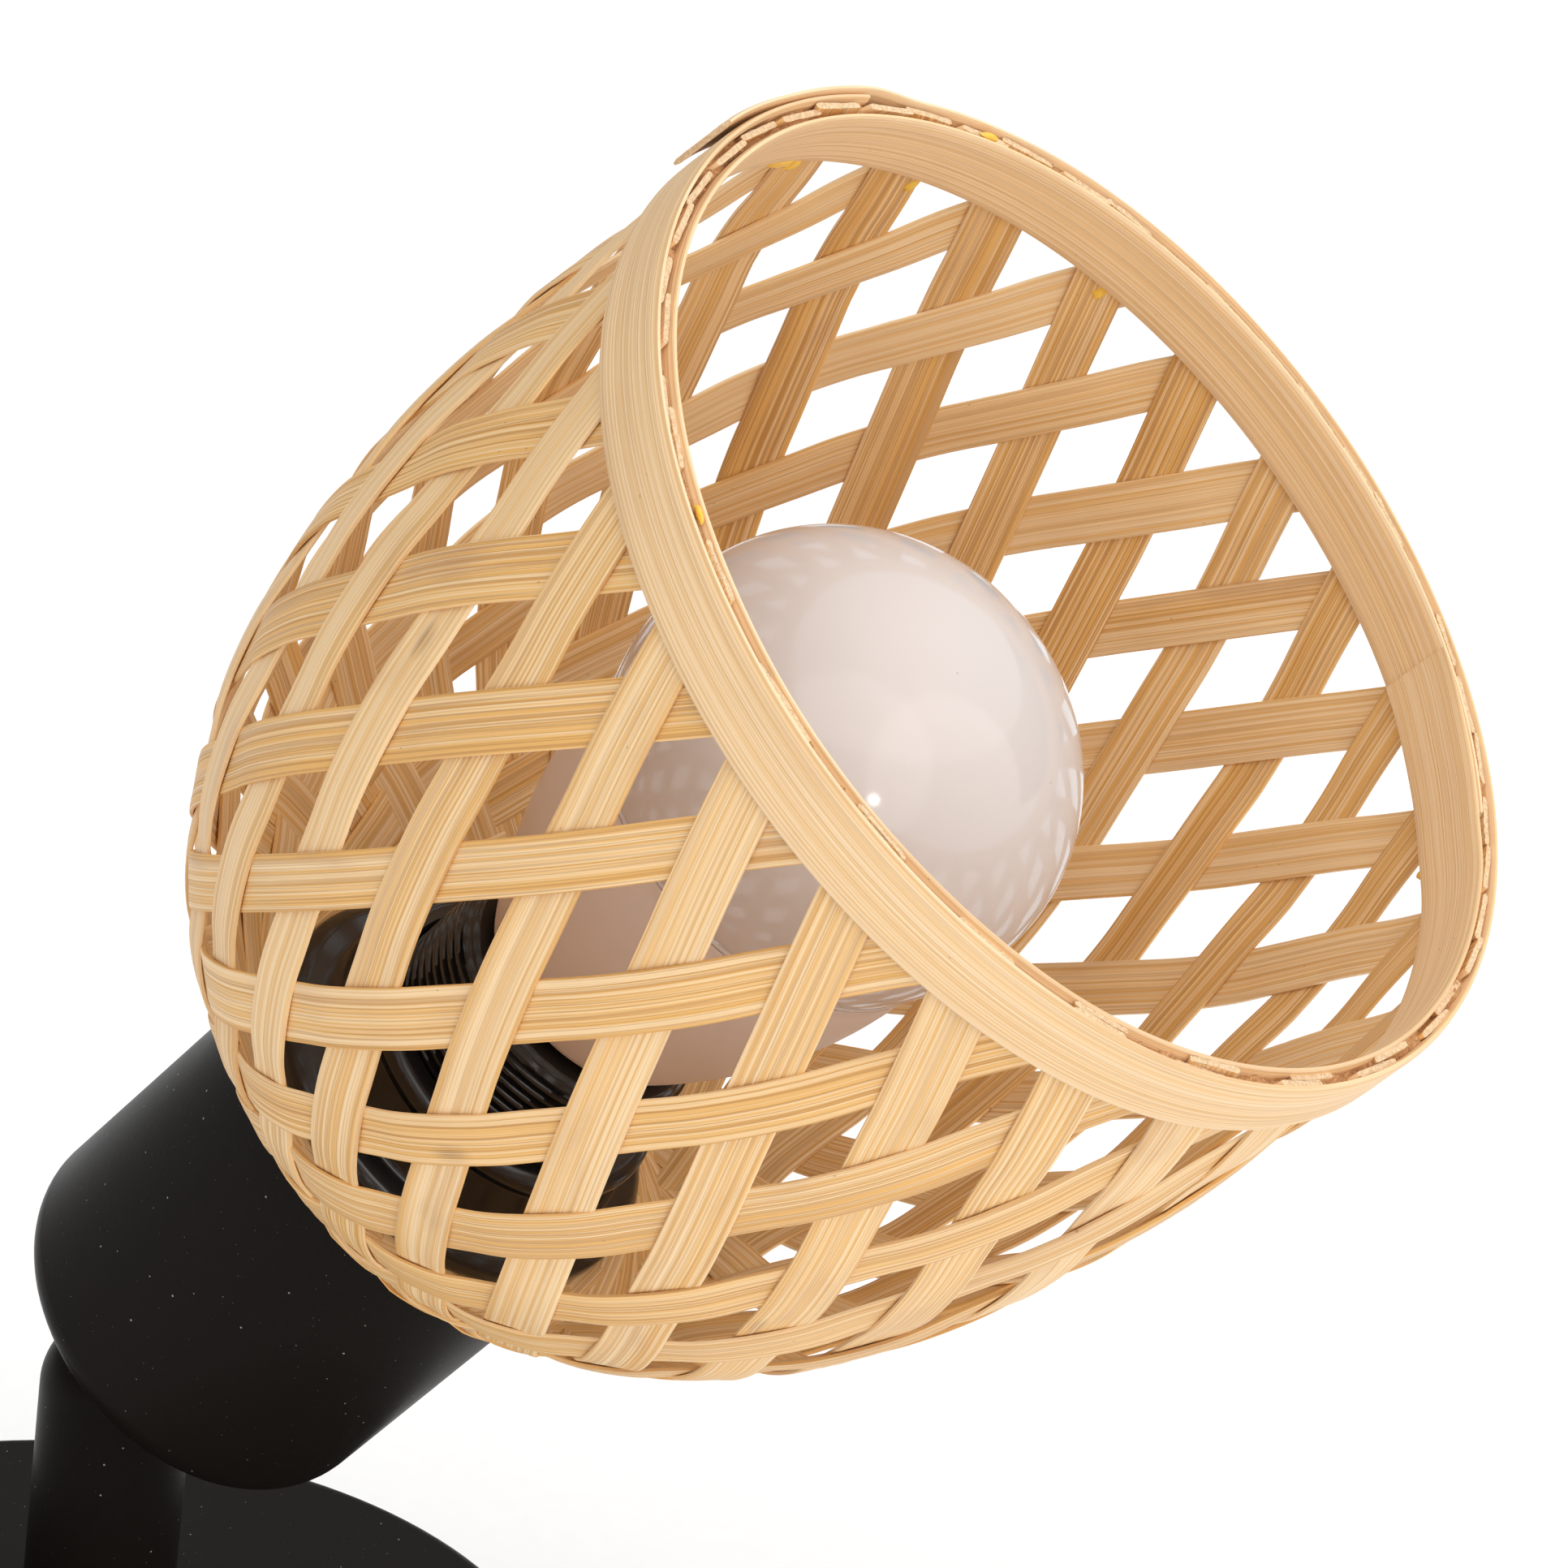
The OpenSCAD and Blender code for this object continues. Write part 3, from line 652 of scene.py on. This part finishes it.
def strip_rings(index, half, source):
    """The rings of one strip, cut level with the rim, with its UVs and the tone of each ring."""
    stray_least_r = 30
    fan_gap = 1.2
    tone_range = (0.32, 0.62)
    tone_split = 0.17
    pattern_step = (31.7, 7.3)
    length, r, z, turn, slope = half
    reach = length[-1] - 2 * ring_step
    along = np.linspace(-reach, reach, int(2 * reach / ring_step))
    at = np.abs(along)
    side = np.where(along < 0, -1.0, 1.0)
    radius = np.interp(at, length, r)
    height = np.interp(at, length, z)
    sweep = np.interp(at, length, turn)
    steep = np.interp(at, length, slope)
    stray = wander(len(along), waves=3, size=0.22, source=source) + source.uniform(-strip_stray, strip_stray)
    azimuth = strip_start + index * 360 / strip_count + side * sweep
    ahead = lead * np.clip(np.cos(np.radians(azimuth - lead_azimuth)), 0, 1) * smooth_step(*lead_zone, radius)
    azimuth = np.radians(azimuth + np.where(side > 0, ahead, 0)) + stray / np.maximum(radius, stray_least_r)
    offset, thick = strip_layers(at, side, (sweep + ahead / 2) / crossing_step, radius, height)

    # Near the hole the strips lie on each other like the blades of a fan
    gap = 2 * math.pi * radius / strip_count * np.sqrt(np.clip(1 - (strip_pass / radius) ** 2, 0, 1))
    fan = side * np.arctan(0.8 * thick / np.maximum(gap, fan_gap)) * smooth_step(0, fan_gap, strip_w - gap)

    outline = np.stack([radius * np.cos(azimuth), radius * np.sin(azimuth), height], -1)
    outward = np.stack([np.sin(steep) * np.cos(azimuth), np.sin(steep) * np.sin(azimuth), -np.cos(steep)], -1)
    to_head = head_frame.inverted() @ shade_frame
    path, outward = seated(moved(outline, to_head), turned(outward, to_head), radius)
    path = path + outward * offset[:, None]

    forward = unit(np.gradient(path, axis=0))
    across = unit(np.cross(outward, forward))
    outward = np.cross(forward, across)
    tilted_across = across * np.cos(fan)[:, None] + outward * np.sin(fan)[:, None]
    tilted_out = outward * np.cos(fan)[:, None] - across * np.sin(fan)[:, None]
    section_side, section_out = strip_section(thick, source)
    rings = (
        path[:, None, :]
        + section_side[..., None] * tilted_across[:, None, :]
        + section_out[..., None] * tilted_out[:, None, :]
    )
    rings = cut_level(rings, forward, to_head, source)

    # Each strip reads its own stretch of the fibre pattern
    uvs = np.stack([
        np.broadcast_to(along[:, None], section_side.shape) / UV_MM + index * pattern_step[0],
        section_side / UV_MM + index * pattern_step[1],
    ], -1)
    uvs = np.concatenate([uvs[:1] - [0.2, 0], uvs, uvs[-1:] + [0.2, 0]])

    # The half that runs one way round is more golden than the half that runs the other way
    tones = source.uniform(*tone_range) + tone_split * side * smooth_step(30, 60, at)
    tones = np.concatenate([tones[:1], tones, tones[-1:]])
    return moved(rings, head_frame), uvs, tones


def woven_shade(materials):
    """All the strips of the basket."""
    half = strip_half()
    basket = Mesh()
    for index in range(strip_count):
        source = random.Random(SEED * 100 + index)
        rings, uvs, tones = strip_rings(index, half, source)
        basket.loft(rings, uvs, tone=tones, cap_material=1)
    basket.piece("woven_strips", [materials["bamboo"], cut_ends()], "head", ["shade_basket"])


def rim_band(name, node, materials, seed, width, face, back, start, lap, outward, flare, taper):
    """A band round the rim whose end laps over its start; face and back are its two insets.

    The lap lies outside where outward is 1 and inside where it is -1. The end stands off by flare,
    and taper is the share of its thickness that is shaved away."""
    source = random.Random(seed)
    steps = 300
    angle = np.linspace(start, start + 360 + lap, steps)
    ramp = 9
    lap_gap = 0.03
    lap_rise = 0.25
    flare_from = 0.45
    ridge = 0.025
    lapped = smooth_step(start + 360 - ramp, start + 360, angle)
    tail = smooth_step(start + 360 + lap * flare_from, start + 360 + lap, angle)
    thick = band_t * (1 - taper * tail)
    lift = lapped * ((band_t + thick) / 2 + lap_gap) + flare * tail
    wave = wander(steps, waves=9, size=0.12, source=source)
    wave += wander(steps, waves=25, size=0.05, source=source)
    top_wave = wander(steps, waves=12, size=0.10, source=source) + lap_rise * lapped
    columns = 15
    edge_loss = 0.6
    place = np.linspace(-1, 1, columns)
    edge = 1 - edge_loss * np.abs(place) ** 14
    ridges = np.array([source.uniform(-ridge, ridge) for _ in place])
    middle_z = shade_h - width / 2
    mean_inset = (face + back) / 2
    rings = []
    uvs = []
    for k in range(steps):
        lateral = place * width / 2
        z = middle_z + lateral + top_wave[k]
        centre = bowl_r(z, mean_inset) + outward * lift[k] + wave[k]
        half_t = edge * (0.5 + ridges) * thick[k]
        radii = np.concatenate([centre + half_t, (centre - half_t)[::-1]])
        heights = np.concatenate([z, z[::-1]])
        a = math.radians(angle[k])
        rings.append(np.stack([radii * math.cos(a), radii * math.sin(a), heights], -1))
        u = np.full(2 * columns, a * rim_r / UV_MM)
        v = np.concatenate([lateral, lateral[::-1]]) / UV_MM
        uvs.append(np.stack([u, v + seed], -1))
    band = Mesh()
    band.loft(moved(np.array(rings), shade_frame), np.array(uvs), tone=0.45, cap_material=1)
    band.piece(name, materials, "head", [node])


def rim_bands(materials):
    """The two bands that hold the strips' ends between them."""
    surfaces = [materials["bamboo_band"], cut_ends()]
    rim_band(
        "outer_rim_band", "outer_band", surfaces, seed=3, width=outer_band_w,
        face=0, back=-band_t,
        start=outer_band_start, lap=outer_band_lap, outward=1, flare=0.5, taper=0.2,
    )
    rim_band(
        "inner_rim_band", "inner_band", surfaces, seed=5, width=inner_band_w,
        face=weave_t, back=weave_t + band_t,
        start=inner_band_start, lap=inner_band_lap, outward=-1, flare=0, taper=0.75,
    )


def rim_gap_shade():
    """A dark brown surface between the two bands, unevenly just below the cut ends: painted shade in the gaps
    between the strips' ends.
    """
    source = random.Random(SEED + 2)
    steps = 1000
    depth = 4
    across = 6
    overlap = 0.05
    shallowest = 0.7
    deepest = 1.7
    drift = 0.25
    ragged = 0.12
    rings = []
    hollow = 1.0
    for k in range(steps):
        a = 2 * math.pi * k / steps
        hollow = min(deepest, max(shallowest, hollow + source.uniform(-drift, drift)))
        section = [(weave_t + overlap, shade_h - depth), (-overlap, shade_h - depth)]
        for step in range(across + 1):
            inset = -overlap + (weave_t + 2 * overlap) * step / across
            section.append((inset, shade_h - hollow + source.uniform(-ragged, ragged)))
        rings.append([
            (float(bowl_r(z, inset)) * math.cos(a), float(bowl_r(z, inset)) * math.sin(a), z)
            for inset, z in section
        ])
    gap_shade_mesh = Mesh()
    gap_shade_mesh.loft(moved(np.array(rings), shade_frame), looped=True)
    # Its dark brown end grain is painted shade deep in the gaps between the strips' ends
    fibres = end_grain("painted_gap_shade", (0.42, 0.20, 0.08), (0.66, 0.38, 0.18))
    gap_shade_mesh.piece("rim_gap_shade", [fibres], "head")


def blob(mesh, centre, size, source):
    """A small uneven drop at a point of the shade's frame; size is (around, up, out)."""
    rows = 7
    columns = 12
    azimuth = math.atan2(centre[1], centre[0])
    around = np.array([-math.sin(azimuth), math.cos(azimuth), 0])
    out = np.array([math.cos(azimuth), math.sin(azimuth), 0])
    lumps = [source.uniform(0.7, 1.25) for _ in range(columns)]
    rings = []
    for i in range(rows):
        polar = math.pi * (i + 0.5) / rows
        ring = []
        for j in range(columns):
            turn = 2 * math.pi * j / columns
            reach = math.sin(polar) * lumps[j]
            ring.append(
                np.array(centre)
                + around * reach * math.cos(turn) * size[0]
                + np.array([0, 0, 1.0]) * reach * math.sin(turn) * size[1]
                + out * math.cos(polar) * size[2]
            )
        rings.append(ring)
    mesh.loft(moved(np.array(rings), shade_frame))


def glue_spots():
    """Glue that has squeezed out of the rim and dried."""
    source = random.Random(SEED + 1)
    drops = Mesh()
    under_band = shade_h - inner_band_w
    inner_face = weave_t + band_t / 2

    # Azimuth, height, inset and size of each drop
    spots = [
        (175, under_band - 0.3, inner_face + 0.1, (2.2, 0.9, 0.35)),
        (172.5, under_band - 0.9, inner_face + 0.1, (0.8, 1.1, 0.3)),
        (152.5, under_band - 1.3, weave_t - 0.1, (0.5, 1.4, 0.2)),
        (125, under_band - 1.0, weave_t - 0.1, (0.6, 1.0, 0.2)),
        (151, shade_h - 0.2, weave_t - 0.3, (1.3, 0.4, 0.35)),
        (44, under_band - 0.6, weave_t, (0.6, 0.7, 0.25)),
        (250, shade_h - 0.2, weave_t - 0.3, (1.0, 0.35, 0.3)),
        (305, under_band - 0.5, weave_t, (0.9, 0.6, 0.3)),
    ]
    for azimuth, z, inset, size in spots:
        radius = float(bowl_r(z, inset))
        a = math.radians(azimuth)
        blob(drops, (radius * math.cos(a), radius * math.sin(a), z), size, source)
    drops.piece("glue_spots", [glue()], "head")


# ---------------------------------------------------------------------------
# Lampholder, ring and bulb
# ---------------------------------------------------------------------------

def threaded_sleeve(materials):
    """The lampholder's sleeve with a true helical thread outside."""
    length = cup_front + holder_reach - holder_foot
    smooth = 1.6
    plain_end = 0.4
    flank_up = (0.1, 0.35)
    flank_down = (0.6, 0.85)
    chamfer_w = 0.5
    chamfer_h = 0.6
    steps = 120
    rows_per_pitch = 10
    rows = int(length / holder_pitch * rows_per_pitch)
    rings = []
    for k in range(steps):
        turn = k / steps
        section = [(holder_bore_r, holder_foot + length), (holder_bore_r, holder_foot)]
        for i in range(rows + 1):
            z = length * i / rows
            phase = (z / holder_pitch - turn) % 1
            crest = float(smooth_step(*flank_up, phase) * (1 - smooth_step(*flank_down, phase)))
            fade_in = smooth_step(0, smooth, z)
            fade_out = 1 - smooth_step(length - smooth, length - plain_end, z)
            fade = float(fade_in * fade_out)
            chamfer = chamfer_w * float(smooth_step(length - chamfer_h, length, z))
            r = holder_core_r + (holder_r - holder_core_r) * crest * fade - chamfer
            section.append((r, holder_foot + z))
        a = 2 * math.pi * turn
        rings.append([(r * math.cos(a), r * math.sin(a), z) for r, z in section])
    sleeve = Mesh()
    sleeve.loft(moved(np.array(rings), head_frame), looped=True)
    plastic = [materials["holder_plastic"]]
    sleeve.piece("threaded_sleeve", plastic, "head", ["lampholder"], sharp=50)


def clamp_ring(materials):
    """The ring that clamps the shade: a flange and a hub with a bead round its mouth."""
    seat = ring_seat
    shoulder = seat + ring_flange_t
    mouth = seat + ring_hub_h
    neck_in = ring_hub_r - 0.8
    bead = 0.5
    section = rounded([
        (ring_bore, seat), (ring_r, seat), (ring_r, seat + ring_flange_t * 0.6), (ring_r - 1.2, shoulder),
        (ring_hub_r + 0.6, shoulder + 0.5), (ring_hub_r, shoulder + 1.6),
        (neck_in, mouth - 2.6), (neck_in + bead, mouth - 1.9),
        (neck_in + bead, mouth - 0.6), (ring_hub_r - 1.4, mouth), (ring_bore, mouth),
    ], 0.5)
    ring = Mesh()
    ring.loft(lathe_rings(section, 180, head_frame), looped=True)
    plastic = [materials["holder_plastic"]]
    ring.piece("clamp_ring", plastic, "head", ["shade_ring"], sharp=50)


def globe_outline(inset, low_angle, steps):
    """Half section of the globe from low_angle to its top."""
    outline = []
    for k in range(steps + 1):
        a = low_angle + (90 - low_angle) * k / steps
        tall = globe_crown if a > 0 else globe_skirt
        outline.append((
            (globe_r - inset) * math.cos(math.radians(a)),
            globe_z + (tall - inset) * math.sin(math.radians(a)),
        ))
    return outline


def opal_globe(materials):
    """The bulb's globe, with the fine lip of its welded seam."""
    above_lip = 2.4
    low_angle = above_lip - math.degrees(math.asin(seam_drop / globe_skirt))
    outside = globe_outline(0, low_angle, 48)
    inside = globe_outline(globe_wall, low_angle, 24)
    outside[-1] = (centre_hole_r, outside[-1][1])
    inside[-1] = (centre_hole_r, inside[-1][1])
    lip_steps = [(-1.0, 0.02), (0.10, 0.02), (0.26, 0.16), (0.26, 0.42), (0.12, 0.58), (0.24, 0.72)]
    lip = [(seam_r + out, seam_z + up) for out, up in lip_steps]
    section = lip + outside + inside[::-1]
    globe = Mesh()
    globe.loft(lathe_rings(section, 128, head_frame), looped=True)
    globe.piece("opal_globe", [materials["bulb_globe"]], "head", ["bulb_globe"], sharp=60)


def bulb_housing(materials):
    """The opaque body between the screw cap and the globe."""
    height = seam_z - neck_z
    foot_bore = 3
    fullness = 0.9
    steps = 32
    outside = []
    for k in range(steps + 1):
        share = k / steps
        r = neck_r + (seam_r - neck_r) * math.sin(math.radians(90 * share ** fullness))
        outside.append((r, neck_z + height * share))
    foot = [(foot_bore, neck_z), (neck_r - 1.2, neck_z), (neck_r - 0.3, neck_z + 0.2)]
    lip = [(seam_r + 0.22, seam_z - 0.30), (seam_r + 0.22, seam_z - 0.05), (seam_r + 0.05, seam_z)]
    inside = [(r - housing_wall, z) for r, z in outside[2:]]
    section = foot + outside[1:-1] + lip + inside[::-1] + [(foot_bore, inside[0][1])]
    housing = Mesh()
    housing.loft(lathe_rings(section, 128, head_frame), looped=True)
    plastic = [materials["bulb_plastic"]]
    housing.piece("bulb_housing", plastic, "head", ["bulb_body"], sharp=50)


# ---------------------------------------------------------------------------
# Frame finishes, camera, floor and light
# ---------------------------------------------------------------------------

def finish_frame(materials):
    """Gives each CAD node the material of its slot."""
    for row in frame["record"]["subparts"]:
        node = frame["nodes"][row["node"]]
        node.data.materials.clear()
        node.data.materials.append(materials[row["material_slot"]])


def direction(azimuth, elevation):
    """The unit vector that points along an azimuth, counted from +X, and an elevation."""
    a = math.radians(azimuth)
    e = math.radians(elevation)
    return Vector((math.cos(e) * math.cos(a), math.cos(e) * math.sin(a), math.sin(e)))


def make_camera():
    """Looks down at the lamp's head through a long lens, into the open side of the shade."""
    stand = (0.3458, -0.4396, 0.3323)
    heading = 121.93
    pitch = -19.95
    roll = math.radians(-7.33)
    forward = direction(heading, pitch)
    right = forward.cross(Vector((0, 0, 1))).normalized()
    up = right.cross(forward)
    turned_right = right * math.cos(roll) - up * math.sin(roll)
    turned_up = up * math.cos(roll) + right * math.sin(roll)
    camera = bpy.data.objects.new("camera", bpy.data.cameras.new("camera"))
    camera.data.sensor_width = 36
    camera.data.lens = 135.96
    camera.data.clip_start = 0.01
    pose = Matrix((turned_right, turned_up, -forward)).transposed().to_4x4()
    pose.translation = stand
    camera.matrix_world = pose
    bpy.context.collection.objects.link(camera)
    bpy.context.scene.camera = camera


def make_floor():
    """A plain pale surface that the canopy stands on."""
    half = 4.0
    just_below = -0.0004
    corners = [(-half, -half, 0), (half, -half, 0), (half, half, 0), (-half, half, 0)]
    data = bpy.data.meshes.new("floor")
    data.from_pydata(corners, [], [(0, 1, 2, 3)])
    floor = bpy.data.objects.new("floor", data)
    floor.location.z = just_below
    paper = Surface("pale_paper", 0.9, specular=0.1)
    grain = paper.noise(paper.place(), 300, 2.0)
    paper.colour(paper.mix(grain, (0.93, 0.93, 0.93), (0.96, 0.96, 0.96)))
    data.materials.append(paper.material)
    bpy.context.collection.objects.link(floor)


def soft_light(name, azimuth, elevation, angle, strength):
    """A light from one direction; the wider its angle, the softer its shadows."""
    light = bpy.data.objects.new(name, bpy.data.lights.new(name, "SUN"))
    light.data.angle = math.radians(angle)
    light.data.energy = strength
    light.rotation_euler = direction(azimuth, elevation).to_track_quat("Z", "Y").to_euler()
    bpy.context.collection.objects.link(light)


def make_light():
    """A dim surround that brightens overhead, three broad lights, and one small glint on the globe."""
    dim = 0.15
    bright = 0.5
    world = bpy.data.worlds.new("studio")
    world.use_nodes = True
    tree = world.node_tree
    sky = tree.nodes["Background"]
    sky.inputs["Color"].default_value = (1.0, 1.0, 1.0, 1.0)
    place = tree.nodes.new("ShaderNodeTexCoord")
    split = tree.nodes.new("ShaderNodeSeparateXYZ")
    fade = tree.nodes.new("ShaderNodeMapRange")
    for name, number in zip(("From Min", "From Max", "To Min", "To Max"), (0, 1, dim, bright)):
        fade.inputs[name].default_value = number
    tree.links.new(place.outputs["Generated"], split.inputs[0])
    tree.links.new(split.outputs[2], fade.inputs["Value"])
    tree.links.new(fade.outputs["Result"], sky.inputs["Strength"])
    bpy.context.scene.world = world
    soft_light("overhead", azimuth=60, elevation=80, angle=120, strength=1.6)
    soft_light("key", azimuth=-50, elevation=30, angle=80, strength=1.0)
    soft_light("side", azimuth=0, elevation=12, angle=80, strength=1.2)
    soft_light("spark", azimuth=-37, elevation=12, angle=6, strength=0.12)
    bpy.context.scene.view_settings.view_transform = "Standard"


make_camera()
make_floor()
make_light()
slot_materials = make_materials()
finish_frame(slot_materials)
woven_shade(slot_materials)
rim_bands(slot_materials)
rim_gap_shade()
glue_spots()
threaded_sleeve(slot_materials)
clamp_ring(slot_materials)
opal_globe(slot_materials)
bulb_housing(slot_materials)
